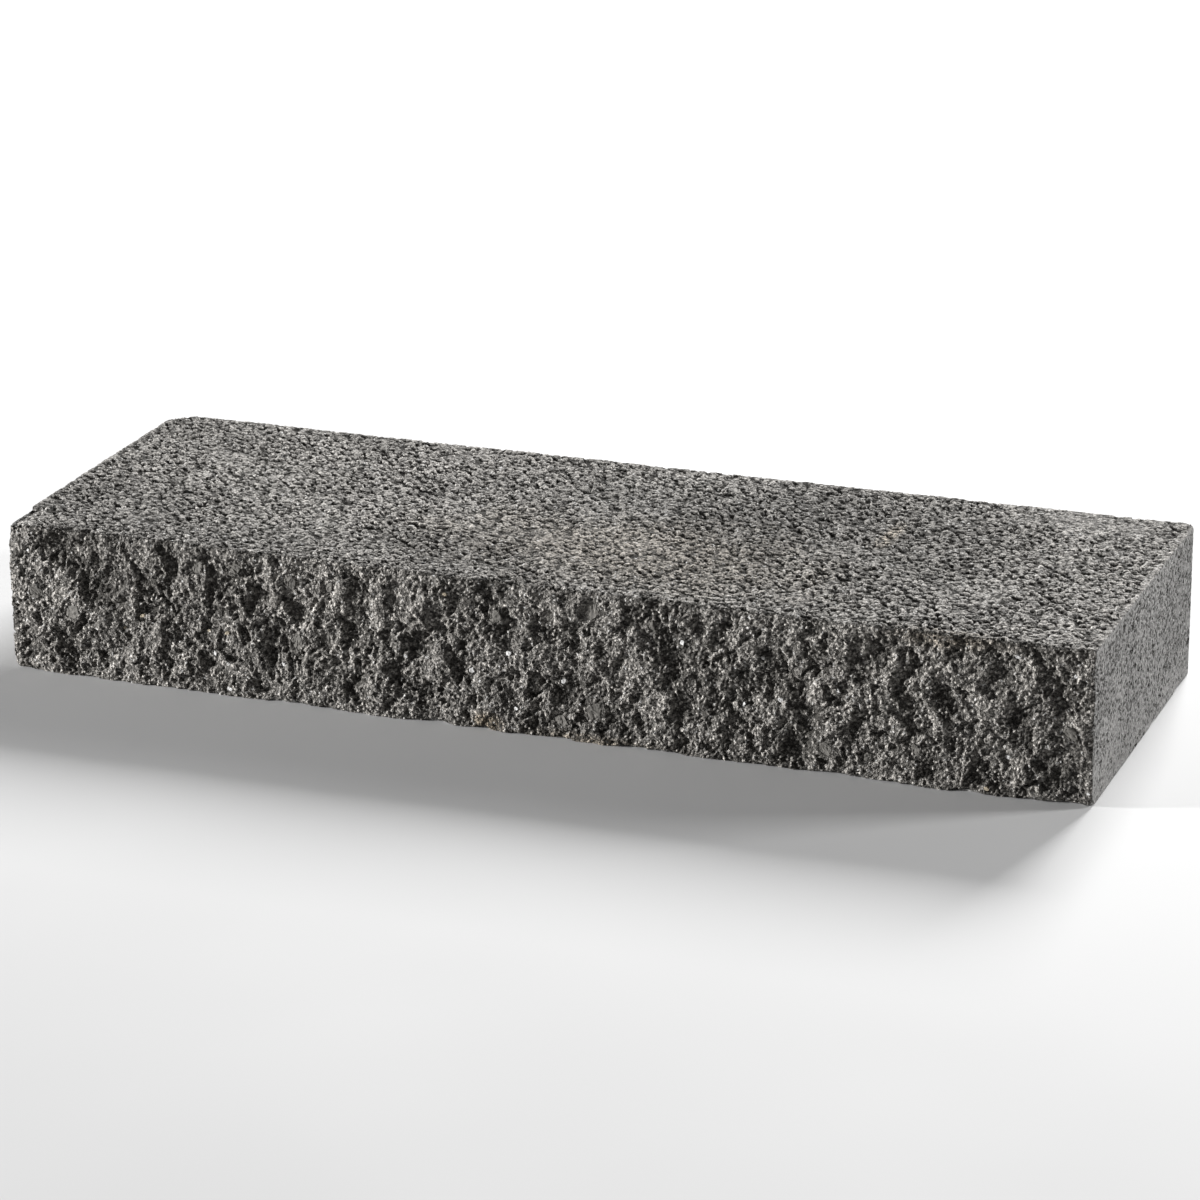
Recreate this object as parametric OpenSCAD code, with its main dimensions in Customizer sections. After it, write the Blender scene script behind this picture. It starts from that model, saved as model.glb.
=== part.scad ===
// Block step of cast stone with one split face.
// X runs along the block, the split face looks towards -Y, and Z = 0 is the face that it rests on.
// The origin is at the middle of the underside.

/* [Block] */
// Length, end to end
block_length = 1000; // [600:50:1200]
// Depth, from the highest point of the split face to the moulded back
block_depth = 350; // [250:10:450]
// Height, from the underside to the tread
block_height = 140; // [100:5:200]

/* [Split face] */
// Depth of the deepest hollow below the highest point
split_relief = 10; // [5:1:16]
// Width of the flats that the stone breaks along
flat_width = 13; // [12:1:24]

/* [Edges] */
// Radius of the two moulded corners at the back
corner_radius = 9; // [4:1:20]
// Width of the chamfer worn along the tread's moulded edges
edge_wear = 1.5; // [0.5:0.5:4]
// Length of the spall at the left end's front corner
spall_length = 52; // [20:2:80]
// Depth of that spall below the tread
spall_depth = 6; // [2:1:8]

/* [Aggregate] */
// Share of the face's stone places that hold a dark chipping
dark_share = 0.25; // [0.15:0.05:0.5]
// Share that hold a quartz pebble
quartz_share = 0.3; // [0.1:0.05:0.35]
// Share that hold a buff pebble
buff_share = 0.08; // [0.04:0.02:0.12]
// Largest width of a dark chipping
dark_width = 22; // [12:1:24]
// Largest width of a pebble
pebble_width = 7; // [5:0.5:12]

/* [Hidden] */
$fn = 48;
over = 1;                                   // how far a cutter runs past the face it cuts
half_length = block_length / 2;
front_y = -block_depth / 2;                 // plane that the split face's highest point touches
back_y = block_depth / 2;
waste_depth = 12;                           // thickness of the waste in front of the split

// The split surface is a sheet of flats on a grid that runs one flat past the block all round.
columns = round(block_length / flat_width);
rows = round(block_height / flat_width);
column_pitch = block_length / columns;
row_pitch = block_height / rows;
grid_shake = 0.34;                          // how far a grid point is shaken, as a share of a pitch
calm_width = 24;                            // how far from an arris the break runs straighter
calm_share = 0.4;                           // what is left of the relief at the arris itself

// Stone places on the split face
place_columns = 24;
place_rows = 3;
places = place_columns * place_rows;
place_stride = 31;                          // steps through the places so that neighbours differ
golden = (sqrt(5) - 1) / 2;                 // its multiples share the places out evenly
place_length = block_length / place_columns;
place_height = block_height / place_rows;
stone_sides = 7;

// Kinds of stone
DARK = 1;
QUARTZ = 2;
BUFF = 3;

// ---- Repeatable chance ----

// A value from 0 to 1 that belongs to lattice point (i, j) of layer k
function chance(i, j, k) =
    let (v = sin(i * 127.1 + j * 311.7 + k * 74.7) * 4375.85)
    v - floor(v);

function ease(t) = t * t * (3 - 2 * t);

// Chance values blended smoothly between lattice points
function blended(u, v, k) =
    let (
        i = floor(u),
        j = floor(v),
        s = ease(u - i),
        t = ease(v - j),
        low = chance(i, j, k) * (1 - s) + chance(i + 1, j, k) * s,
        high = chance(i, j + 1, k) * (1 - s) + chance(i + 1, j + 1, k) * s
    )
    low * (1 - t) + high * t;

// ---- Split face ----

// Unscaled depth of the split at a point: a slow swell, tall hollows and small breaks
function raw_depth(x, z) =
    0.18 * blended(x / 190, z / 120, 1)
    + 0.40 * blended(x / 34, z / 44, 2)
    + 0.42 * blended(x / 17, z / 21, 3);

// The break runs straighter where it meets the tread, the underside and the two ends
function edge_share(x, z) =
    let (
        nearest = min(z, block_height - z, half_length - abs(x)),
        t = max(0, min(1, nearest / calm_width))
    )
    calm_share + (1 - calm_share) * ease(t);

// Depth with its swing about the middle level calmed near the block's arrises
function calmed_depth(x, z) = 0.5 + (raw_depth(x, z) - 0.5) * edge_share(x, z);

function on_rim(c, r) = c == -1 || c == columns + 1 || r == -1 || r == rows + 1;

function shake(c, r, k) =
    on_rim(c, r) || c == 0 || c == columns || r == 0 || r == rows
        ? 0
        : (chance(c, r, k) - 0.5) * 2 * grid_shake;

function grid_x(c, r) = -half_length + (c + shake(c, r, 11)) * column_pitch;

function grid_z(c, r) = (r + shake(c, r, 12)) * row_pitch;

calmed_depths = [
    for (c = [0 : columns])
        for (r = [0 : rows])
            calmed_depth(grid_x(c, r), grid_z(c, r))
];
least_depth = min(calmed_depths);
most_depth = max(calmed_depths);

// Depth of the split below the front plane, from 0 to split_relief
function split_depth(x, z) =
    let (share = (calmed_depth(x, z) - least_depth) / (most_depth - least_depth))
    split_relief * max(0, min(1, share));

function sheet_index(c, r) = (c + 1) * (rows + 3) + r + 1;

// The waste that the split breaks away: a rough sheet at its back, a flat one in front
module split_waste() {
    per_sheet = (columns + 3) * (rows + 3);
    rough = [
        for (c = [-1 : columns + 1])
            for (r = [-1 : rows + 1])
                let (x = grid_x(c, r), z = grid_z(c, r))
                [x, front_y + split_depth(x, z), z]
    ];
    flat = [for (p = rough) [p[0], front_y - waste_depth, p[2]]];
    cells = [for (c = [-1 : columns]) for (r = [-1 : rows]) [c, r]];
    corners = [
        for (q = cells)
            [
                sheet_index(q[0], q[1]),
                sheet_index(q[0] + 1, q[1]),
                sheet_index(q[0] + 1, q[1] + 1),
                sheet_index(q[0], q[1] + 1)
            ]
    ];
    rough_faces = [for (k = corners) each [[k[0], k[1], k[2]], [k[0], k[2], k[3]]]];
    flat_faces = [
        for (f = rough_faces)
            [f[2] + per_sheet, f[1] + per_sheet, f[0] + per_sheet]
    ];
    rim = concat(
        [for (c = [-1 : columns]) [sheet_index(c + 1, -1), sheet_index(c, -1)]],
        [for (r = [-1 : rows]) [sheet_index(-1, r), sheet_index(-1, r + 1)]],
        [for (c = [-1 : columns]) [sheet_index(c, rows + 1), sheet_index(c + 1, rows + 1)]],
        [for (r = [-1 : rows]) [sheet_index(columns + 1, r + 1), sheet_index(columns + 1, r)]]
    );
    rim_faces = [
        for (e = rim)
            each [
                [e[0], e[1], e[1] + per_sheet],
                [e[0], e[1] + per_sheet, e[0] + per_sheet]
            ]
    ];
    polyhedron(concat(rough, flat), concat(rough_faces, flat_faces, rim_faces));
}

// ---- Stones in the split face ----

// Kind of stone in place (i, j), or 0 for none
function stone_kind(i, j) =
    let (
        turn = (place_rows * i + j) * place_stride % places * golden,
        v = turn - floor(turn)
    )
    v < dark_share ? DARK
    : v < dark_share + quartz_share ? QUARTZ
    : v < dark_share + quartz_share + buff_share ? BUFF
    : 0;

function stone_radius(i, j) =
    let (largest = (stone_kind(i, j) == DARK ? dark_width : pebble_width) / 2)
    largest * (0.6 + 0.4 * chance(i, j, 22));

function stone_x(i, j) =
    let (room = place_length / 2 - stone_radius(i, j) - over)
    -half_length + (i + 0.5) * place_length + room * (2 * chance(i, j, 23) - 1);

function stone_z(i, j) =
    let (room = place_height / 2 - stone_radius(i, j) - over)
    (j + 0.5) * place_height + room * (2 * chance(i, j, 24) - 1);

// Slopes of the stone's cleaved front, along X and Z
function stone_slope(i, j, k) = 0.3 * (chance(i, j, k) - 0.5);

// Depth of the front's middle: chippings lie level with the break, pebbles stand proud of it
function stone_depth(i, j) =
    let (
        local = split_depth(stone_x(i, j), stone_z(i, j)),
        proud = stone_kind(i, j) == DARK ? 0.3 : 0.9,
        lean = 0.3 * stone_radius(i, j)
    )
    max(local - proud, lean + 0.2);

// One ring of a stone's corners, at a share of its radius and a depth behind its front
function stone_ring(i, j, share, behind) = [
    for (s = [0 : stone_sides - 1])
        let (
            turn = (s + 0.7 * chance(i + s, j, 25)) * 360 / stone_sides,
            reach = stone_radius(i, j) * share * (0.7 + 0.3 * chance(i, j + s, 26)),
            along = reach * cos(turn),
            across = reach * sin(turn) * (0.55 + 0.4 * chance(i, j, 29)),
            lie = 180 * chance(i, j, 30),
            dx = along * cos(lie) - across * sin(lie),
            dz = along * sin(lie) + across * cos(lie),
            lean = dx * stone_slope(i, j, 27) + dz * stone_slope(i, j, 28)
        )
        [
            stone_x(i, j) + dx,
            front_y + stone_depth(i, j) + lean + behind,
            stone_z(i, j) + dz
        ]
];

// A solid through rings of corners, each ring further back than the last
module ringed_solid(rings) {
    last = len(rings) - 1;
    points = [for (ring = rings) each ring];
    front = [for (s = [stone_sides - 1 : -1 : 0]) s];
    back = [for (s = [0 : stone_sides - 1]) last * stone_sides + s];
    sides = [
        for (k = [0 : last - 1])
            for (s = [0 : stone_sides - 1])
                let (
                    n = (s + 1) % stone_sides,
                    a = k * stone_sides + s,
                    b = k * stone_sides + n
                )
                each [[a, b, b + stone_sides], [a, b + stone_sides, a + stone_sides]]
    ];
    polyhedron(points, concat([front, back], sides));
}

function stone_body_rings(i, j) =
    let (r = stone_radius(i, j))
    [
        stone_ring(i, j, 0.86, 0),
        stone_ring(i, j, 1, 0.4 * r),
        stone_ring(i, j, 0.6, 1.2 * r)
    ];

module stone(i, j) {
    ringed_solid(stone_body_rings(i, j));
}

// The room that a stone takes in the concrete, open towards the front
module stone_socket(i, j) {
    mouth = [
        for (p = stone_ring(i, j, 1, 0))
            [p[0], front_y - waste_depth / 2, p[2]]
    ];
    ringed_solid(concat([mouth], stone_body_rings(i, j)));
}

module stones(kind) {
    for (i = [0 : place_columns - 1])
        for (j = [0 : place_rows - 1])
            if (stone_kind(i, j) == kind)
                stone(i, j);
}

// ---- Block ----

// What a moulded corner's rounding takes off the right back corner
module corner_cutter() {
    translate([half_length, back_y, -over])
        difference() {
            translate([-corner_radius, -corner_radius, 0])
                cube([corner_radius + over, corner_radius + over, block_height + 2 * over]);
            translate([-corner_radius, -corner_radius, -over])
                cylinder(r = corner_radius, h = block_height + 4 * over);
        }
}

// What wear takes off one of the tread's edges, along +X at the origin
module edge_cutter(length) {
    rotate([45, 0, 0])
        translate([-length / 2, -edge_wear * sqrt(0.5), -edge_wear * sqrt(0.5)])
            cube([length, edge_wear * sqrt(2), edge_wear * sqrt(2)]);
}

// The spall falls away towards the left end, from a short step across the tread
module spall_cutter() {
    spall_reach = spall_length / 3;
    translate([-half_length + spall_reach, front_y - over, block_height])
        rotate([0, -atan(spall_depth / spall_reach), 0])
            translate([-2 * spall_reach, 0, 0])
                cube([2 * spall_reach, spall_length + over, 2 * spall_depth]);
}

module moulded_block() {
    difference() {
        translate([-half_length, front_y - over, 0])
            cube([block_length, block_depth + over, block_height]);
        for (side = [0, 1])
            mirror([side, 0, 0]) {
                corner_cutter();
                translate([half_length, 0, block_height])
                    rotate([0, 0, 90])
                        edge_cutter(block_depth + 4 * over);
            }
        translate([0, back_y, block_height])
            edge_cutter(block_length + 4 * over);
        spall_cutter();
    }
}

module concrete_body() {
    color([0.42, 0.41, 0.40])
        difference() {
            moulded_block();
            split_waste();
            for (kind = [DARK, QUARTZ, BUFF])
                for (i = [0 : place_columns - 1])
                    for (j = [0 : place_rows - 1])
                        if (stone_kind(i, j) == kind)
                            stone_socket(i, j);
        }
}

module dark_chippings() {
    color([0.22, 0.22, 0.20])
        stones(DARK);
}

module quartz_pebbles() {
    color([0.74, 0.73, 0.70])
        stones(QUARTZ);
}

module buff_pebbles() {
    color([0.62, 0.53, 0.40])
        stones(BUFF);
}

concrete_body();
dark_chippings();
quartz_pebbles();
buff_pebbles();
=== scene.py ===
"""Looks of a split-face block step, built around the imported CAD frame.

The block's skin is one closed mesh on a lattice of about a millimetre. Each of the lattice's six faces is
pushed inwards by a depth of its own: the split front follows the CAD model's break and adds the finer
breaks and grain, the tread is open grain, and the moulded faces have pits. Lengths are in millimetres until
a mesh is made, because that is the scale of the grain.
"""
import math

import bmesh
import bpy
import numpy as np
from mathutils import Matrix, Vector
from mathutils.bvhtree import BVHTree


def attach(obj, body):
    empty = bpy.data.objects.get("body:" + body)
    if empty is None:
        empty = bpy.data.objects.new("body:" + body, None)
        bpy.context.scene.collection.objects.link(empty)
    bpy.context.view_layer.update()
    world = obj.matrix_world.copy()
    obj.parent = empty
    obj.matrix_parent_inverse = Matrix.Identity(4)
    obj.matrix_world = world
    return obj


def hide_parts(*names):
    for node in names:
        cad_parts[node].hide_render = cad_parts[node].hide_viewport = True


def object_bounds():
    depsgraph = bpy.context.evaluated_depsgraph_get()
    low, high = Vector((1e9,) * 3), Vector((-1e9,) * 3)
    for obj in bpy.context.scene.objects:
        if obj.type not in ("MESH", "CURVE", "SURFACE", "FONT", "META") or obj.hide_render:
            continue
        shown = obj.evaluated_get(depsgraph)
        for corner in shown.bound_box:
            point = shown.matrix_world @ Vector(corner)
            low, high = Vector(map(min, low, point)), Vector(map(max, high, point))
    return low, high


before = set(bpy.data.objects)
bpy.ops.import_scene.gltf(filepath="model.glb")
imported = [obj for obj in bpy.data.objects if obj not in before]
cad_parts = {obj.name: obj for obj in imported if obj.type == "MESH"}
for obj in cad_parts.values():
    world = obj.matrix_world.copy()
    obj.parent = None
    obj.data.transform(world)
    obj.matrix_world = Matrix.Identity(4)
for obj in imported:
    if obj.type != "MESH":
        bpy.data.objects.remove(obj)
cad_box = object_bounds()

MM = 0.001
X, Y, Z = 0, 1, 2
LOW_SIDE, HIGH_SIDE = 0, 1

# ---- Sizes ----
BODY = "concrete_body"
STONES = ("dark_chippings", "quartz_pebbles", "buff_pebbles")
LOW = np.array(cad_box[0]) / MM
HIGH = np.array(cad_box[1]) / MM
PITCH = 1.0          # spacing of the lattice on the faces that show
CELLS = 2 * np.round((HIGH - LOW) / PITCH / 2).astype(int)      # even numbers, so wide cells fit too
SPACING = (HIGH - LOW) / CELLS
# How many lattice steps wide the cells of each face are. The back and the underside have the wider ones.
STRIDE = {(axis, side): 1 for axis in (X, Y, Z) for side in (LOW_SIDE, HIGH_SIDE)}
STRIDE[Y, HIGH_SIDE] = 2
STRIDE[Z, LOW_SIDE] = 2
CORNER_RADIUS = 9.0                         # the two moulded corners at the back
ARRIS_REACH = 16                            # how far from the arrises their wear can be felt
# Corners that have lost a chip, each by its side in X, Y and Z, with how much rounder it is.
CHIPPED_CORNERS = (
    ((LOW_SIDE, LOW_SIDE, LOW_SIDE), 4.0),
    ((LOW_SIDE, LOW_SIDE, HIGH_SIDE), 4.0),
    ((LOW_SIDE, HIGH_SIDE, HIGH_SIDE), 11.0),
)
FRONT_REACH = 40.0                          # how far behind the front the lattice gives way to its relief
SKIN_REACH = 5.0                            # the same for the other faces

# What the material reads at each point of the skin: painted shadow in its hollows, gaps and pits, its
# grain's own tone, how light its cement is, how stained and how rough it is, and how thick with small pits.
POINT_VALUES = ("hollow", "tone", "shade", "stain", "rough", "pitted")

# How light the cement of each face is, as a share of the middle shade.
FRONT_SHADE = 1.1
TREAD_SHADE = 0.99
MOULDED_SHADE = 0.79


# ---- Repeatable noise ----
# Each layer is a field of chance of its own, so two uses with different layers have nothing in common.

def chance(i, j, k, layer):
    """A value from 0 to 1 that belongs to a lattice cell of a layer, the same on every run."""
    h = i.astype(np.int64).astype(np.uint32) * np.uint32(0x8DA6B343)
    h ^= j.astype(np.int64).astype(np.uint32) * np.uint32(0xD8163841)
    h ^= k.astype(np.int64).astype(np.uint32) * np.uint32(0xCB1AB31F)
    h ^= np.uint32((layer * 0x9E3779B9) & 0xFFFFFFFF)
    for shift, factor in ((16, 0x7FEB352D), (15, 0x846CA68B)):
        h = (h ^ (h >> np.uint32(shift))) * np.uint32(factor)
    return (h ^ (h >> np.uint32(16))).astype(np.float32) / np.float32(2**32)


def ease(t):
    t = np.clip(t, 0, 1)
    return t * t * (3 - 2 * t)


def ramp(value, start, end):
    """0 at start, 1 at end, with a smooth way between."""
    return ease((value - start) / (end - start))


def noise(points, size, layer):
    """Smooth noise from -1 to 1 with features of about size."""
    scaled = (points / size).astype(np.float32)
    cell = np.floor(scaled)
    f = scaled - cell
    f = f * f * (3 - 2 * f)
    total = 0
    for di in (0, 1):
        wx = f[:, 0] if di else 1 - f[:, 0]
        for dj in (0, 1):
            wy = f[:, 1] if dj else 1 - f[:, 1]
            for dk in (0, 1):
                wz = f[:, 2] if dk else 1 - f[:, 2]
                value = chance(cell[:, 0] + di, cell[:, 1] + dj, cell[:, 2] + dk, layer)
                total = total + wx * wy * wz * value
    return 2 * total - 1


def rough_noise(points, size, layer, octaves):
    """Noise with finer and finer octaves added, from about -1 to 1."""
    total, share, sum_of_shares = 0, 1.0, 0.0
    for octave in range(octaves):
        total = total + share * noise(points, size / 2**octave, layer + octave)
        sum_of_shares += share
        share *= 0.55
    return total / sum_of_shares


def grains(points, size, layer):
    """The distance to the nearest grain's centre in sizes, that grain's own value, and the way from its
    centre."""
    scaled = (points / size).astype(np.float32)
    cell = np.floor(scaled)
    nearest = np.full(len(points), 9.0, np.float32)
    value = np.zeros(len(points), np.float32)
    way = np.zeros((len(points), 3), np.float32)
    for di in (-1, 0, 1):
        for dj in (-1, 0, 1):
            for dk in (-1, 0, 1):
                i, j, k = cell[:, 0] + di, cell[:, 1] + dj, cell[:, 2] + dk
                dx = scaled[:, 0] - i - chance(i, j, k, layer)
                dy = scaled[:, 1] - j - chance(i, j, k, layer + 1)
                dz = scaled[:, 2] - k - chance(i, j, k, layer + 2)
                d2 = dx * dx + dy * dy + dz * dz
                closer = d2 < nearest
                nearest[closer] = d2[closer]
                value[closer] = chance(i[closer], j[closer], k[closer], layer + 3)
                way[closer] = np.stack([dx[closer], dy[closer], dz[closer]], 1)
    return np.sqrt(nearest), value, way


def flats(points, size, layer):
    """Tilted flats that meet in ledges, as stone breaks, from about -1 to 1."""
    _, value, way = grains(points, size, layer)
    lean_x = np.modf(value * 7.31)[0] - 0.5
    lean_z = np.modf(value * 13.77)[0] - 0.5
    return (value - 0.5) + 1.3 * (way[:, 0] * lean_x + way[:, 2] * lean_z)


# ---- What the CAD model says of the faces ----

def cad_tree(names):
    """A search tree over the CAD nodes' triangles, and the number of triangles of the first node."""
    points, triangles, first = [], [], None
    for name in names:
        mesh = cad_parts[name].data
        start = len(points)
        points += [v.co.copy() for v in mesh.vertices]
        triangles += [[start + i for i in p.vertices] for p in mesh.polygons]
        first = first or len(triangles)
    return BVHTree.FromPolygons(points, triangles), first


def blurred(grid, radius):
    """The grid averaged with a bell of that radius in cells, its border repeated outwards."""
    reach = int(math.ceil(2.5 * radius))
    weights = np.exp(-0.5 * (np.arange(-reach, reach + 1) / radius) ** 2)
    weights /= weights.sum()
    for axis in (0, 1):
        pad = [(0, 0), (0, 0)]
        pad[axis] = (reach, reach)
        wide = np.pad(grid, pad, mode="edge")
        size = grid.shape[axis]
        grid = sum(w * np.take(wide, range(s, s + size), axis) for s, w in enumerate(weights))
    return grid


def front_from_cad():
    """Depth of the CAD model's break at each lattice point of the front, and where a stone lies in it."""
    tree, body_triangles = cad_tree((BODY,) + STONES)
    columns, rows = CELLS[X] + 1, CELLS[Z] + 1
    depth = np.zeros((columns, rows), np.float32)
    stone = np.zeros((columns, rows), np.float32)
    inset, below_tread = 0.3, 2 * SKIN_REACH    # the rays keep clear of the block's worn arrises
    start_y = LOW[Y] - 20
    for i in range(columns):
        x = min(max(LOW[X] + i * SPACING[X], LOW[X] + inset), HIGH[X] - inset)
        for k in range(rows):
            z = min(max(LOW[Z] + k * SPACING[Z], LOW[Z] + inset), HIGH[Z] - below_tread)
            hit, _, index, _ = tree.ray_cast(Vector((x, start_y, z)) * MM, Vector((0, 1, 0)))
            depth[i, k] = hit.y / MM - LOW[Y]
            stone[i, k] = index >= body_triangles
    return depth, stone


def tread_from_cad():
    """Depth of the CAD model's tread below its plane at each lattice point: a spall and worn edges."""
    tree, _ = cad_tree((BODY,))
    columns, rows = CELLS[X] + 1, CELLS[Y] + 1
    depth = np.zeros((columns, rows), np.float32)
    inset, front_inset = 2.0, 13.0              # the rays keep clear of the edges and of the split
    start_z = HIGH[Z] + 10
    for i in range(columns):
        x = min(max(LOW[X] + i * SPACING[X], LOW[X] + inset), HIGH[X] - inset)
        for j in range(rows):
            y = min(max(LOW[Y] + j * SPACING[Y], LOW[Y] + front_inset), HIGH[Y] - inset)
            hit, _, _, _ = tree.ray_cast(Vector((x, y, start_z)) * MM, Vector((0, 0, -1)))
            if hit:
                depth[i, j] = HIGH[Z] - hit.z / MM
    return depth


def at_lattice(grid, spots, first, second):
    """The grid's values at spots that lie on the lattice."""
    i = np.round((spots[:, first] - LOW[first]) / SPACING[first]).astype(int)
    j = np.round((spots[:, second] - LOW[second]) / SPACING[second]).astype(int)
    return grid[i, j]


# ---- The faces ----
# Each gives, for spots on its plane, the depth inwards and the point values that the material reads there.

def patch(spots, other_axis, at, size):
    """A soft-edged cloud on a face, from 1 at its middle to 0 outside, with a ragged outline.

    Its middle and its size are given along X and the face's other axis."""
    along = (spots[:, X] - at[0]) / (size[0] / 2)
    across = (spots[:, other_axis] - at[1]) / (size[1] / 2)
    ragged = 0.35 * rough_noise(spots, 45, 601, 3)
    return ramp(np.sqrt(along**2 + across**2) + ragged, 1.15, 0.25)


def to_border(spots, first, second):
    """How far each spot lies from its face's nearest border."""
    inset = np.minimum(spots - LOW, HIGH - spots)
    return np.minimum(inset[:, first], inset[:, second])


def split_front(spots):
    """The broken front: the CAD model's break, then scoops with steep walls and leaning flats, then the
    grain."""
    scoop_depth, flat_depth, lump_depth, mean_depth, behind_stone = 3.9, 2.6, 3.2, 2.0, 2.0
    grain_size = 2.5
    depth = at_lattice(front_coarse, spots, X, Z)
    # The finer breaks stay off the stones, and the skin passes behind each of them.
    apart = 1 - ramp(at_lattice(front_beside, spots, X, Z), 0.02, 0.12)
    inside = ramp(at_lattice(front_stone, spots, X, Z), 0.55, 0.95)
    taller = np.array([1.0, 1.0, 0.82])
    bend = np.stack([rough_noise(spots, 11, layer, 2) for layer in (101, 104, 107)], 1)
    bent = (spots + 6.0 * bend) * taller
    calm = 0.35 + 0.65 * ramp(to_border(spots, X, Z), 0, 16)
    ragged = 0.16 * rough_noise(spots, 5, 115, 2)
    scoop = ramp(rough_noise(bent, 20, 110, 3) + ragged, -0.14, 0.24)
    broken = scoop_depth * scoop + flat_depth * flats(bent, 17, 120)
    broken = broken + lump_depth * rough_noise(spots, 9, 130, 3) - mean_depth
    nearest, tone, _ = grains(spots + 1.2 * bend, grain_size, 140)
    torn = ramp(rough_noise(spots, 15, 150, 2), -0.5, 0.3)
    stand = (0.35 + 0.65 * tone) * (1 - ramp(nearest, 0.1, 0.75))
    crumb = (1.0 + 1.3 * torn) * (1 - stand) + 0.5 * noise(spots, 1.7, 160) - 1.4
    depth = depth + apart * broken * calm + (1 - inside) * crumb + behind_stone * inside
    depth = np.where(depth < 0, 0.2 * depth, depth)     # hardly any of it stands out of the CAD box
    rust = 0.45 * patch(spots, Z, at=(-39, 6), size=(34, 26))
    lower_arris = 0.25 * patch(spots, Z, at=(60, 2), size=(170, 16))
    upper_arris = 0.25 * patch(spots, Z, at=(377, 134), size=(120, 22))
    return depth, {
        # painted shadow: darker colour in the scoops and in the gaps between crumbs
        "hollow": 0.3 * ramp(scoop, 0.2, 1.0) + 0.65 * ramp(1 - stand, 0.4, 1.0),
        "tone": tone,
        "shade": np.full(len(spots), FRONT_SHADE),
        "stain": 0.12 + rust + lower_arris + upper_arris,
        "rough": np.ones(len(spots)),
    }


def open_tread(spots):
    """The tread: grains pressed flat, each at its own height, open gaps between them in some places and
    closed by cement in others."""
    grain_size, gap_depth, lean_depth = 4.0, 2.8, 0.9
    longer = np.array([0.9, 1.0, 1.0])
    bend = np.stack([noise(spots, 6, layer) for layer in (201, 202, 203)], 1)
    nearest, tone, way = grains((spots + 1.2 * bend) * longer, grain_size, 210)
    lean = way[:, Y] * (np.modf(tone * 17.3)[0] - 0.35)
    dark = patch(spots, Y, at=(165, 65), size=(400, 230))
    dark += 0.4 * patch(spots, Y, at=(330, 40), size=(200, 110))
    dark += 0.9 * patch(spots, Y, at=(-80, -108), size=(150, 90))
    light = patch(spots, Y, at=(-300, 20), size=(480, 330))
    light += 0.8 * patch(spots, Y, at=(30, -30), size=(150, 100))
    light += patch(spots, Y, at=(410, -95), size=(340, 200))
    closed = patch(spots, Y, at=(0, -60), size=(330, 130))
    closed += patch(spots, Y, at=(420, 140), size=(200, 90))
    streak = patch(spots, Y, at=(254, 55), size=(22, 90))
    brown = 0.8 * patch(spots, Y, at=(60, -60), size=(480, 230)) + 1.5 * streak
    front_arris = 0.12 * patch(spots, Y, at=(377, -170), size=(120, 16))
    openness = 0.9 + 0.65 * rough_noise(spots, 38, 220, 3) + 0.2 * dark - 0.42 * closed
    openness = np.clip(openness, 0.35, 1.25) * (0.3 + 0.7 * ramp(to_moulded_edge(spots), 0, 9))
    stand = (0.55 + 0.45 * tone) * (1 - ramp(nearest, 0.5, 0.8))
    stand = np.where(tone < 0.13, 0.0, stand)
    grit = 0.35 * noise(spots, 1.9, 230) * openness
    depth = openness * (gap_depth * (1 - stand) + lean_depth * lean) + grit
    depth += 0.5 * rough_noise(spots, 45, 240, 2) + 0.3
    depth = np.maximum(depth, 0) + at_lattice(tread_coarse, spots, X, Y)
    shade = 1 - 0.22 * np.clip(dark, 0, 1) + 0.18 * np.clip(light, 0, 1) + 0.45 * streak
    return depth, {
        # painted shadow: darker colour in the open gaps between the grains
        "hollow": ramp(1 - stand, 0.4, 0.76) * np.clip(1.45 * openness, 0, 1),
        "tone": tone,
        "shade": TREAD_SHADE * shade,
        "stain": 0.08 + 0.15 * np.clip(brown, 0, 1.5) + front_arris,
        "rough": 0.25 + 0.2 * np.clip(openness, 0, 1),
    }


def to_moulded_edge(spots):
    """How far each spot of the tread lies from the nearest of its three moulded edges."""
    to_ends = np.minimum(spots[:, X] - LOW[X], HIGH[X] - spots[:, X])
    return np.minimum(to_ends, HIGH[Y] - spots[:, Y])


def moulded(spots, openness):
    """A moulded face: close and fine, with pits where the mix didn't fill the mould."""
    pit_spacing, pit_depth, pore_spacing, pore_depth = 5.0, 3.2, 2.6, 1.3
    flatter = np.array([0.8, 0.8, 1.05])
    bend = np.stack([rough_noise(spots, 4, layer, 2) for layer in (301, 304, 307)], 1)
    nearest, tone, _ = grains(spots * flatter + 1.8 * bend, pit_spacing, 310)
    breadth = 0.6 + 0.55 * np.modf(tone * 37.1)[0]
    pit = np.where(tone < 0.5 * openness, 1 - ramp(nearest / breadth, 0.4, 0.54), 0)
    small, own, _ = grains(spots + 0.9 * bend, pore_spacing, 320)
    pore = np.where(own < 0.06 + 0.5 * openness, 1 - ramp(small, 0.25, 0.6), 0)
    depth = pit_depth * pit + pore_depth * pore + 0.1 * noise(spots, 1.6, 330) + 0.15
    depth += 0.3 * rough_noise(spots, 70, 340, 2)
    return np.maximum(depth, 0), {
        # painted shadow: darker colour inside the pits and pores
        "hollow": np.clip((0.8 + 0.7 * breadth) * pit + 1.1 * pore, 0, 1),
        "tone": 0.35 + 0.3 * own,
        "shade": np.full(len(spots), MOULDED_SHADE),
        "stain": np.zeros(len(spots)),
        "rough": np.full(len(spots), 0.12),
        "pitted": openness,
    }


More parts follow.
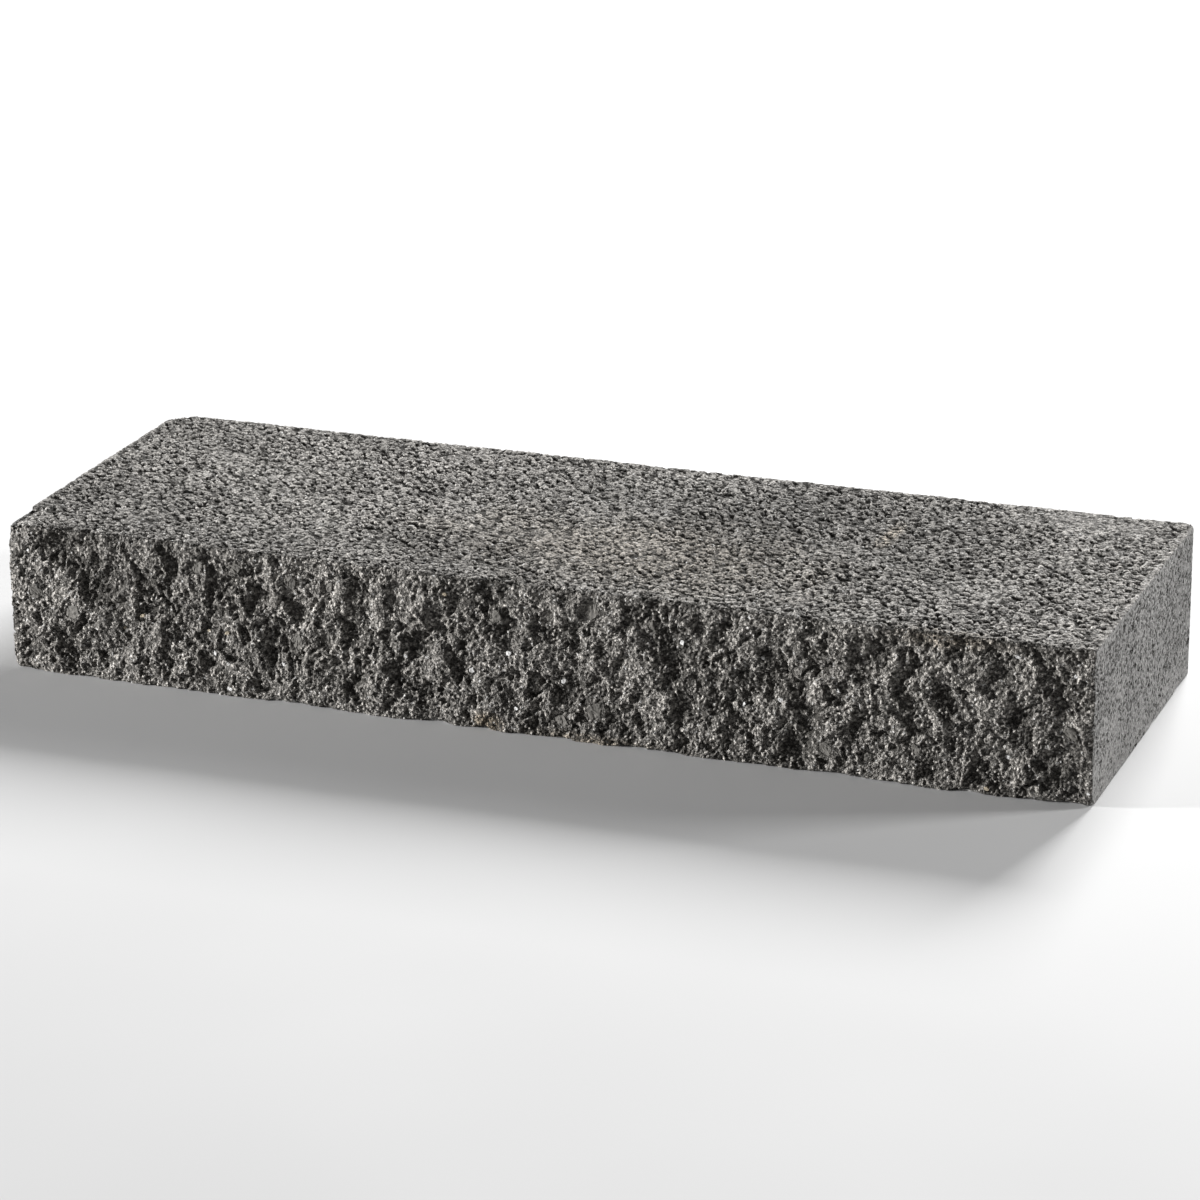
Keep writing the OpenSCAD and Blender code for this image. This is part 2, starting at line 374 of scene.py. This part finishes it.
def moulded_end(spots):
    """An end: it fills best near the mould's floor and along the tread, so its pits gather between."""
    rise = (spots[:, Z] - LOW[Z]) / (HIGH[Z] - LOW[Z])
    ahead = (HIGH[Y] - spots[:, Y]) / (HIGH[Y] - LOW[Y])
    patchy = rough_noise(spots, 50, 350, 2)
    openness = 0.1 + 0.7 * rise + 0.15 * ahead * rise + 0.35 * patchy
    band = ramp(HIGH[Z] - spots[:, Z], 1, 13)
    return moulded(spots, np.clip(openness, 0.08, 0.85) * (0.15 + 0.85 * band))


def moulded_back(spots):
    """The back: as an end, but fuller, with its pits gathering towards the tread."""
    rise = (spots[:, Z] - LOW[Z]) / (HIGH[Z] - LOW[Z])
    patchy = rough_noise(spots, 60, 360, 2)
    return moulded(spots, np.clip(0.12 + 0.35 * rise + 0.25 * patchy, 0.06, 0.55))


def underside(spots):
    """The underside: it lies on its highest points, so it has pits and next to no swell."""
    openness, swell = 0.12, 0.4
    depth, values = moulded(spots, np.full(len(spots), openness))
    return np.maximum(depth - swell, 0), values


# ---- The lattice ----

def key_of(index):
    """One number for each lattice point."""
    return (index[X] * (CELLS[Y] + 1) + index[Y]) * (CELLS[Z] + 1) + index[Z]


def face_cells(axis, side):
    """The cells of one face: the keys of their corners one after another, and how many each cell has.

    A wide cell on the border of its face also takes the middle point of a neighbour's fine cells."""
    across, up = [a for a in (X, Y, Z) if a != axis]
    stride = STRIDE[axis, side]
    first, second = np.meshgrid(
        np.arange(0, CELLS[across], stride), np.arange(0, CELLS[up], stride), indexing="ij"
    )
    first, second = first.ravel(), second.ravel()
    half = stride // 2
    ring = np.array([
        (0, 0), (half, 0), (stride, 0), (stride, half),
        (stride, stride), (half, stride), (0, stride), (0, half),
    ])
    index = [None, None, None]
    index[across] = first[:, None] + ring[:, 0]
    index[up] = second[:, None] + ring[:, 1]
    index[axis] = np.full_like(index[across], CELLS[axis] if side == HIGH_SIDE else 0)
    used = np.ones(index[axis].shape, bool)
    borders = (
        (1, second == 0, (up, LOW_SIDE)),
        (3, first + stride == CELLS[across], (across, HIGH_SIDE)),
        (5, second + stride == CELLS[up], (up, HIGH_SIDE)),
        (7, first == 0, (across, LOW_SIDE)),
    )
    for corner, on_border, neighbour in borders:
        used[:, corner] = on_border & (STRIDE[neighbour] < stride)
    keys = key_of(index)
    counterclockwise = side == (LOW_SIDE if axis == Y else HIGH_SIDE)
    if not counterclockwise:
        keys, used = keys[:, ::-1], used[:, ::-1]
    return keys[used], used.sum(1)


def lattice():
    """The closed lattice: its points, its cells' corners, the corner counts, and each cell's face."""
    keys, counts, faces = [], [], []
    for axis in (X, Y, Z):
        for side in (LOW_SIDE, HIGH_SIDE):
            face_keys, face_counts = face_cells(axis, side)
            keys.append(face_keys)
            counts.append(face_counts)
            faces.append(np.full(len(face_counts), 2 * axis + side))
    unique, corners = np.unique(np.concatenate(keys), return_inverse=True)
    k = unique % (CELLS[Z] + 1)
    j = unique // (CELLS[Z] + 1) % (CELLS[Y] + 1)
    i = unique // (CELLS[Z] + 1) // (CELLS[Y] + 1)
    points = LOW + np.stack([i, j, k], 1) * SPACING
    return points, corners, np.concatenate(counts), np.concatenate(faces)


def rounded(inset, radius):
    """How far each coordinate moves inwards to round the corners where two or three faces meet."""
    v = np.clip(radius - inset, 0, None)
    length = np.sqrt((v * v).sum(1, keepdims=True))
    return v - v * v.max(1, keepdims=True) / np.maximum(length, 1e-9)


def worn_corners(points):
    """The move inwards at the arrises: a fine rounding, crumbs out of it, and a few larger chips."""
    inward = np.where(points < (LOW + HIGH) / 2, 1.0, -1.0)
    inset = np.minimum(points - LOW, HIGH - points)
    move = np.zeros_like(points)
    near = np.sort(inset, 1)[:, 1] < ARRIS_REACH
    spots = points[near]
    smallest_radius = 1.1
    crumbs = 1.3 * ramp(noise(spots, 6, 401), 0.2, 0.9)
    chips = 2.2 * ramp(noise(spots, 15, 402), 0.45, 1.0)
    large_chips = 5.0 * ramp(noise(spots, 42, 403), 0.62, 1.0)
    radius = smallest_radius + crumbs + chips + large_chips
    under_front = ramp(spots[:, Z] - LOW[Z], 16, 4) * ramp(spots[:, Y] - LOW[Y], 40, 20)
    radius += 9.0 * under_front * ramp(noise(spots, 30, 404), 0.0, 0.9)
    for sides, bite in CHIPPED_CORNERS:
        radius += bite * ramp(np.linalg.norm(spots - np.where(sides, HIGH, LOW), axis=1), 26, 6)
    move[near] = rounded(inset[near], radius[:, None])
    plan = inset.copy()
    plan[:, Y] = HIGH[Y] - points[:, Y]
    plan[:, Z] = CORNER_RADIUS
    return inward * (move + rounded(plan, CORNER_RADIUS))


def block_skin():
    """The whole skin: its points in place, its cells, and what the material reads at each point."""
    points, corners, counts, faces = lattice()
    moved = points + worn_corners(points)
    values = {name: np.zeros(len(points), np.float32) for name in POINT_VALUES}
    surfaces = (
        (Z, LOW_SIDE, underside, SKIN_REACH),
        (X, LOW_SIDE, moulded_end, SKIN_REACH),
        (X, HIGH_SIDE, moulded_end, SKIN_REACH),
        (Y, HIGH_SIDE, moulded_back, SKIN_REACH),
        (Z, HIGH_SIDE, open_tread, SKIN_REACH),
        (Y, LOW_SIDE, split_front, FRONT_REACH),
    )
    for axis, side, surface, reach in surfaces:
        plane = HIGH[axis] if side == HIGH_SIDE else LOW[axis]
        inset = np.abs(points[:, axis] - plane)
        near = inset < reach
        spots = points[near].copy()
        spots[:, axis] = plane
        depth, face_values = surface(spots)
        fade = ease(1 - inset[near] / reach)
        moved[near, axis] += (1 if side == LOW_SIDE else -1) * depth * fade
        here = inset[near] < 0.01
        there = np.flatnonzero(near)[here]
        for name, value in face_values.items():
            values[name][there] = value[here]
    return moved, corners, counts, faces, values


# ---- Meshes ----

def mesh_object(name, points, corners, counts):
    mesh = bpy.data.meshes.new(name)
    mesh.vertices.add(len(points))
    mesh.vertices.foreach_set("co", (points * MM).astype(np.float32).ravel())
    mesh.loops.add(len(corners))
    mesh.loops.foreach_set("vertex_index", corners.astype(np.int32))
    mesh.polygons.add(len(counts))
    mesh.polygons.foreach_set("loop_start", (np.cumsum(counts) - counts).astype(np.int32))
    mesh.update(calc_edges=True)
    mesh.validate()
    obj = bpy.data.objects.new(name, mesh)
    bpy.context.scene.collection.objects.link(obj)
    return obj


def point_values(obj, values):
    for name, value in values.items():
        layer = obj.data.attributes.new(name, "FLOAT", "POINT")
        layer.data.foreach_set("value", value.astype(np.float32))


def box_unwrap(obj, points, corners, counts, faces):
    """Lays the six faces side by side in one UV map, all at the same scale, for baking the block."""
    length, depth, height = HIGH - LOW
    margin = 6.0
    step = depth + margin
    rows = {
        (Z, HIGH_SIDE): (0, 0), (Z, LOW_SIDE): (0, step),
        (Y, LOW_SIDE): (0, 2 * step), (Y, HIGH_SIDE): (0, 2 * step + height + margin),
        (X, LOW_SIDE): (0, 2 * (step + height + margin)),
        (X, HIGH_SIDE): (depth + margin, 2 * (step + height + margin)),
    }
    across = 3 * margin + length
    tall = 2 * (step + height + margin) + height + margin
    scale = 1 / max(across, tall)
    face_of_corner = np.repeat(faces, counts)
    spot = points[corners] - LOW
    uv = np.zeros((len(corners), 2), np.float32)
    for (axis, side), (left, bottom) in rows.items():
        mine = face_of_corner == 2 * axis + side
        first, second = [a for a in (X, Y, Z) if a != axis]
        uv[mine, 0] = (spot[mine, first] + left + margin) * scale
        uv[mine, 1] = (spot[mine, second] + bottom + margin) * scale
    layer = obj.data.uv_layers.new(name="OFBake")
    layer.data.foreach_set("uv", uv.ravel())


def stone_pieces(name, finish):
    """The CAD stones of one kind, worked from cut facets into broken stone: one object of many solids."""
    flat_size, grit_size = 3.1, 0.9
    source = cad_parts[name].data
    work = bmesh.new()
    work.from_mesh(source)
    bmesh.ops.remove_doubles(work, verts=work.verts, dist=0.01 * MM)
    bmesh.ops.subdivide_edges(work, edges=work.edges, cuts=5, use_grid_fill=True)
    bmesh.ops.triangulate(work, faces=work.faces)
    for _ in range(finish["smoothing"]):
        bmesh.ops.smooth_vert(
            work, verts=work.verts, factor=0.5, use_axis_x=True, use_axis_y=True, use_axis_z=True
        )
    work.normal_update()
    places = np.array([v.co for v in work.verts]) / MM
    normals = np.array([v.normal for v in work.verts])
    lift = finish["chips"] * flats(places, flat_size, finish["layer"])
    lift += finish["grit"] * noise(places, grit_size, finish["layer"] + 5)
    for vert, place in zip(work.verts, places + normals * lift[:, None]):
        vert.co = Vector(place) * MM
    mesh = bpy.data.meshes.new(name + "_broken")
    work.to_mesh(mesh)
    work.free()
    obj = bpy.data.objects.new(name + "_broken", mesh)
    bpy.context.scene.collection.objects.link(obj)
    return obj


# ---- Materials ----

class Nodes:
    """Short ways to add and link a material's nodes."""

    def __init__(self, name):
        self.material = bpy.data.materials.new(name)
        self.material.use_nodes = True
        self.tree = self.material.node_tree
        self.shader = self.tree.nodes["Principled BSDF"]
        self.place = self.add("ShaderNodeTexCoord").outputs["Object"]

    def add(self, kind, **settings):
        node = self.tree.nodes.new(kind)
        for key, value in settings.items():
            setattr(node, key, value)
        return node

    def link(self, value, socket):
        if isinstance(value, bpy.types.NodeSocket):
            self.tree.links.new(value, socket)
        else:
            socket.default_value = value

    def value(self, name):
        return self.add("ShaderNodeAttribute", attribute_name=name).outputs["Fac"]

    def noise(self, size, detail=2.0, rough=0.5, warp=0.0):
        """Noise from about 0.3 to 0.7 with features of size millimetres."""
        node = self.add("ShaderNodeTexNoise")
        self.link(self.place, node.inputs["Vector"])
        node.inputs["Scale"].default_value = 1 / (size * MM)
        node.inputs["Detail"].default_value = detail
        node.inputs["Roughness"].default_value = rough
        node.inputs["Distortion"].default_value = warp
        return node.outputs["Fac"]

    def grain(self, size):
        """Grains of size millimetres: for each a value of its own from 0 to 1, and how far its middle is."""
        node = self.add("ShaderNodeTexVoronoi")
        self.link(self.place, node.inputs["Vector"])
        node.inputs["Scale"].default_value = 1 / (size * MM)
        split = self.add("ShaderNodeSeparateColor")
        self.link(node.outputs["Color"], split.inputs["Color"])
        return split.outputs["Red"], node.outputs["Distance"]

    def cells(self, size):
        """Only the grains' own values."""
        return self.grain(size)[0]

    def ramp(self, value, start, end, low=0.0, high=1.0):
        """Turns value from start to end into low to high."""
        node = self.add("ShaderNodeMapRange", interpolation_type="SMOOTHSTEP")
        self.link(value, node.inputs["Value"])
        for socket, number in zip(("From Min", "From Max", "To Min", "To Max"), (start, end, low, high)):
            node.inputs[socket].default_value = number
        return node.outputs["Result"]

    def maths(self, operation, a, b):
        node = self.add("ShaderNodeMath", operation=operation)
        self.link(a, node.inputs[0])
        self.link(b, node.inputs[1])
        return node.outputs[0]

    def product(self, first, *others):
        for other in others:
            first = self.maths("MULTIPLY", first, other)
        return first

    def as_grey(self, value):
        node = self.add("ShaderNodeCombineColor")
        for channel in ("Red", "Green", "Blue"):
            self.link(value, node.inputs[channel])
        return node.outputs["Color"]

    def mix(self, share, a, b, blend="MIX"):
        node = self.add("ShaderNodeMix", data_type="RGBA", blend_type=blend)
        self.link(share, node.inputs[0])
        self.link((*a, 1) if isinstance(a, tuple) else a, node.inputs[6])
        self.link((*b, 1) if isinstance(b, tuple) else b, node.inputs[7])
        return node.outputs[2]

    def bump(self, heights):
        """Relief finer than the mesh, from pairs of a height and its size in millimetres."""
        normal = None
        for height, size in heights:
            node = self.add("ShaderNodeBump")
            node.inputs["Strength"].default_value = 1.0
            node.inputs["Distance"].default_value = size * MM
            self.link(height, node.inputs["Height"])
            if normal:
                self.link(normal, node.inputs["Normal"])
            normal = node.outputs["Normal"]
        self.link(normal, self.shader.inputs["Normal"])


def grey(value, warmth=0.0):
    """A grey with a little red given and blue taken for warmth."""
    return (value * (1 + warmth), value, value * (1 - 1.6 * warmth))


def concrete_material():
    """Cement and fine granite grain: clouds of lighter and darker cement, a tone for each grain, bright
    specks and small sharp pits, with painted shadow that darkens the hollows, the gaps between grains and
    the pits."""
    cement, speck, dark_grain = grey(0.245, 0.02), grey(0.65, 0.01), grey(0.03, 0.04)
    # painted shadow colours for the hollows, the gaps between grains and the pits
    hollow_shade, painted_gap_shadow, painted_pit_shadow = grey(0.025, 0.1), grey(0.03, 0.08), grey(0.02, 0.08)
    stain_tint = (1.3, 1.0, 0.62)
    n = Nodes("granite_grey_concrete")
    clouds = n.ramp(n.noise(110, 3.0, 0.55, 0.4), 0.32, 0.68, 0.88, 1.12)
    coarse = n.ramp(n.value("tone"), 0.0, 1.0, 0.7, 1.3)
    own, away = n.grain(1.7)
    _, between = n.grain(3.3)
    # where painted shadow darkens the gaps between the larger grains, mostly on the rough faces
    gap_shadow = n.product(n.ramp(between, 0.62, 0.78), n.ramp(n.value("rough"), 0.15, 0.4, 0.0, 0.85))
    mixed = n.maths("ADD", n.maths("MULTIPLY", own, 0.55), n.maths("MULTIPLY", n.cells(1.1), 0.45))
    contrast = n.ramp(n.value("rough"), 0.12, 0.5, 1.2, 2.0)
    grain = n.maths("ADD", n.maths("MULTIPLY", n.maths("SUBTRACT", mixed, 0.5), contrast), 1.0)
    shade = n.product(n.value("shade"), clouds, coarse, grain)
    body = n.mix(1.0, cement, n.as_grey(shade), "MULTIPLY")
    body = n.mix(n.value("stain"), body, n.mix(1.0, body, stain_tint, "MULTIPLY"))
    where_broken = n.ramp(n.value("rough"), 0.0, 0.5, 0.2, 1.0)
    glint = n.product(n.ramp(n.cells(1.6), 0.965, 0.985, 0.0, 0.85), where_broken)
    body = n.mix(glint, body, speck)
    body = n.mix(n.ramp(n.cells(2.6), 0.07, 0.04, 0.0, 0.8), body, dark_grain)
    # painted shadow in the hollows, then along the gaps between grains
    body = n.mix(n.ramp(n.value("hollow"), 0.25, 0.95, 0.0, 0.85), body, hollow_shade)
    body = n.mix(gap_shadow, body, painted_gap_shadow)
    # small pits where a face is pitted: painted shadow inside them, and the same pits dent the bump below
    chosen, pit_away = n.grain(3.4)
    open_here = n.ramp(n.maths("SUBTRACT", n.product(n.value("pitted"), 0.92), chosen), 0.0, 0.03)
    pit = n.product(open_here, n.ramp(pit_away, 0.5, 0.4))
    body = n.mix(n.product(pit, 0.9), body, painted_pit_shadow)
    n.link(body, n.shader.inputs["Base Color"])
    n.shader.inputs["Roughness"].default_value = 0.92
    n.shader.inputs["Specular IOR Level"].default_value = 0.25
    mounds = n.maths("MULTIPLY", n.maths("SUBTRACT", 1.0, away), n.value("rough"))
    crumbs = n.maths("MULTIPLY", n.ramp(n.noise(1.2, 2.0, 0.6), 0.3, 0.7), n.value("rough"))
    lumps = n.maths("MULTIPLY", n.ramp(between, 0.8, 0.3), n.value("rough"))
    n.bump(((lumps, 1.4), (mounds, 1.3), (crumbs, 0.5), (n.maths("SUBTRACT", 1.0, pit), 1.2)))
    return n.material


def stone_material(name, dark, light, roughness):
    """Broken stone of one kind: its own two shades, crystals and a fine fracture."""
    n = Nodes(name)
    body = n.mix(n.ramp(n.noise(4, 3.0, 0.6), 0.35, 0.65), dark, light)
    body = n.mix(n.ramp(n.cells(0.8), 0.0, 1.0, 0.0, 0.35), body, light)
    body = n.mix(n.ramp(n.noise(0.7, 2.0), 0.45, 0.7, 0.0, 0.4), body, dark)
    n.link(body, n.shader.inputs["Base Color"])
    n.shader.inputs["Roughness"].default_value = roughness
    n.shader.inputs["Specular IOR Level"].default_value = 0.35
    n.bump(((n.noise(0.8, 2.0), 0.25),))
    return n.material


def floor_material():
    """A pale matt floor with a hardly visible cloudiness."""
    n = Nodes("pale_floor")
    body = n.mix(n.ramp(n.noise(400, 2.0), 0.3, 0.7), (0.62, 0.62, 0.62), (0.64, 0.64, 0.64))
    n.link(body, n.shader.inputs["Base Color"])
    n.shader.inputs["Roughness"].default_value = 0.9
    return n.material


# ---- The block ----

front_depth, front_stone = front_from_cad()
front_coarse = blurred(front_depth, 2.2 / PITCH)
front_beside = blurred(front_stone, 3.0 / PITCH)
front_stone = blurred(front_stone, 0.7 / PITCH)
tread_coarse = tread_from_cad()
points, corners, counts, faces, values = block_skin()
block = mesh_object("block_skin", points, corners, counts)
point_values(block, values)
box_unwrap(block, points, corners, counts, faces)
block.data.materials.append(concrete_material())
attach(block, "root")
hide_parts(BODY)

# For each kind of stone: how often it is smoothed, how many millimetres its chips and its grit lift the
# surface, the layers of chance that they use, and its material's two shades and roughness.
STONE_LOOKS = {
    "dark_chippings": {
        "slot": "dark_stone", "smoothing": 1, "chips": 0.9, "grit": 0.2, "layer": 501,
        "material": ("dark_broken_stone", grey(0.07, 0.06), grey(0.13, 0.06), 0.85),
    },
    "quartz_pebbles": {
        "slot": "quartz", "smoothing": 1, "chips": 0.4, "grit": 0.1, "layer": 521,
        "material": ("pale_quartz", grey(0.4, 0.01), grey(0.65, 0.01), 0.6),
    },
    "buff_pebbles": {
        "slot": "buff_stone", "smoothing": 1, "chips": 0.3, "grit": 0.1, "layer": 541,
        "material": ("buff_stone", (0.25, 0.21, 0.15), (0.4, 0.35, 0.27), 0.75),
    },
}
for node_name, look in STONE_LOOKS.items():
    stones = stone_pieces(node_name, look)
    stones.data.materials.append(stone_material(*look["material"]))
    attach(stones, "root")
    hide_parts(node_name)


# ---- Floor, light and camera ----

def floor():
    """A flat floor under the block, 28 m square."""
    half_size = 14
    work = bmesh.new()
    bmesh.ops.create_grid(work, x_segments=8, y_segments=8, size=half_size)
    mesh = bpy.data.meshes.new("floor")
    work.to_mesh(mesh)
    work.free()
    obj = bpy.data.objects.new("floor", mesh)
    obj.data.materials.append(floor_material())
    bpy.context.scene.collection.objects.link(obj)


def softbox(name, direction, distance, size, power):
    """A square light that far from the block's middle, turned to it."""
    light = bpy.data.lights.new(name, "AREA")
    light.shape = "SQUARE"
    light.size = size
    light.energy = power
    obj = bpy.data.objects.new(name, light)
    centre = Vector((LOW + HIGH) / 2 * MM)
    way = Vector(direction).normalized()
    obj.location = centre + way * distance
    obj.rotation_euler = way.to_track_quat("Z", "Y").to_euler()
    bpy.context.scene.collection.objects.link(obj)


def surroundings(strength):
    """An even white light from all around."""
    world = bpy.data.worlds.new("studio")
    world.use_nodes = True
    back = world.node_tree.nodes["Background"]
    back.inputs["Color"].default_value = (1, 1, 1, 1)
    back.inputs["Strength"].default_value = strength
    bpy.context.scene.world = world


def camera():
    """A long lens ahead of the block, to its right and above it, with hardly any tilt to the side."""
    turn, tip, roll = -0.365, 0.343, -0.0087    # in radians
    place = Vector((1.334, -3.488, 1.401))
    ahead = Vector((math.sin(turn) * math.cos(tip), math.cos(turn) * math.cos(tip), -math.sin(tip)))
    right = Vector((math.cos(turn), -math.sin(turn), 0))
    up = right.cross(ahead)
    right, up = right * math.cos(roll) + up * math.sin(roll), up * math.cos(roll) - right * math.sin(roll)
    data = bpy.data.cameras.new("camera")
    data.sensor_width = 36
    data.lens = 133
    obj = bpy.data.objects.new("camera", data)
    obj.matrix_world = Matrix((right, up, -ahead)).transposed().to_4x4()
    obj.location = place
    bpy.context.scene.collection.objects.link(obj)
    bpy.context.scene.camera = obj


floor()
softbox("back_key", direction=(0.12, 0.85, 0.5), distance=5.0, size=1.8, power=470)
softbox("left_strip", direction=(-1.0, -0.42, 0.1), distance=7.0, size=0.7, power=1400)
softbox("right_fill", direction=(1.0, 0.42, 0.35), distance=4.5, size=0.9, power=140)
surroundings(0.1)
camera()
bpy.context.scene.view_settings.view_transform = "Standard"
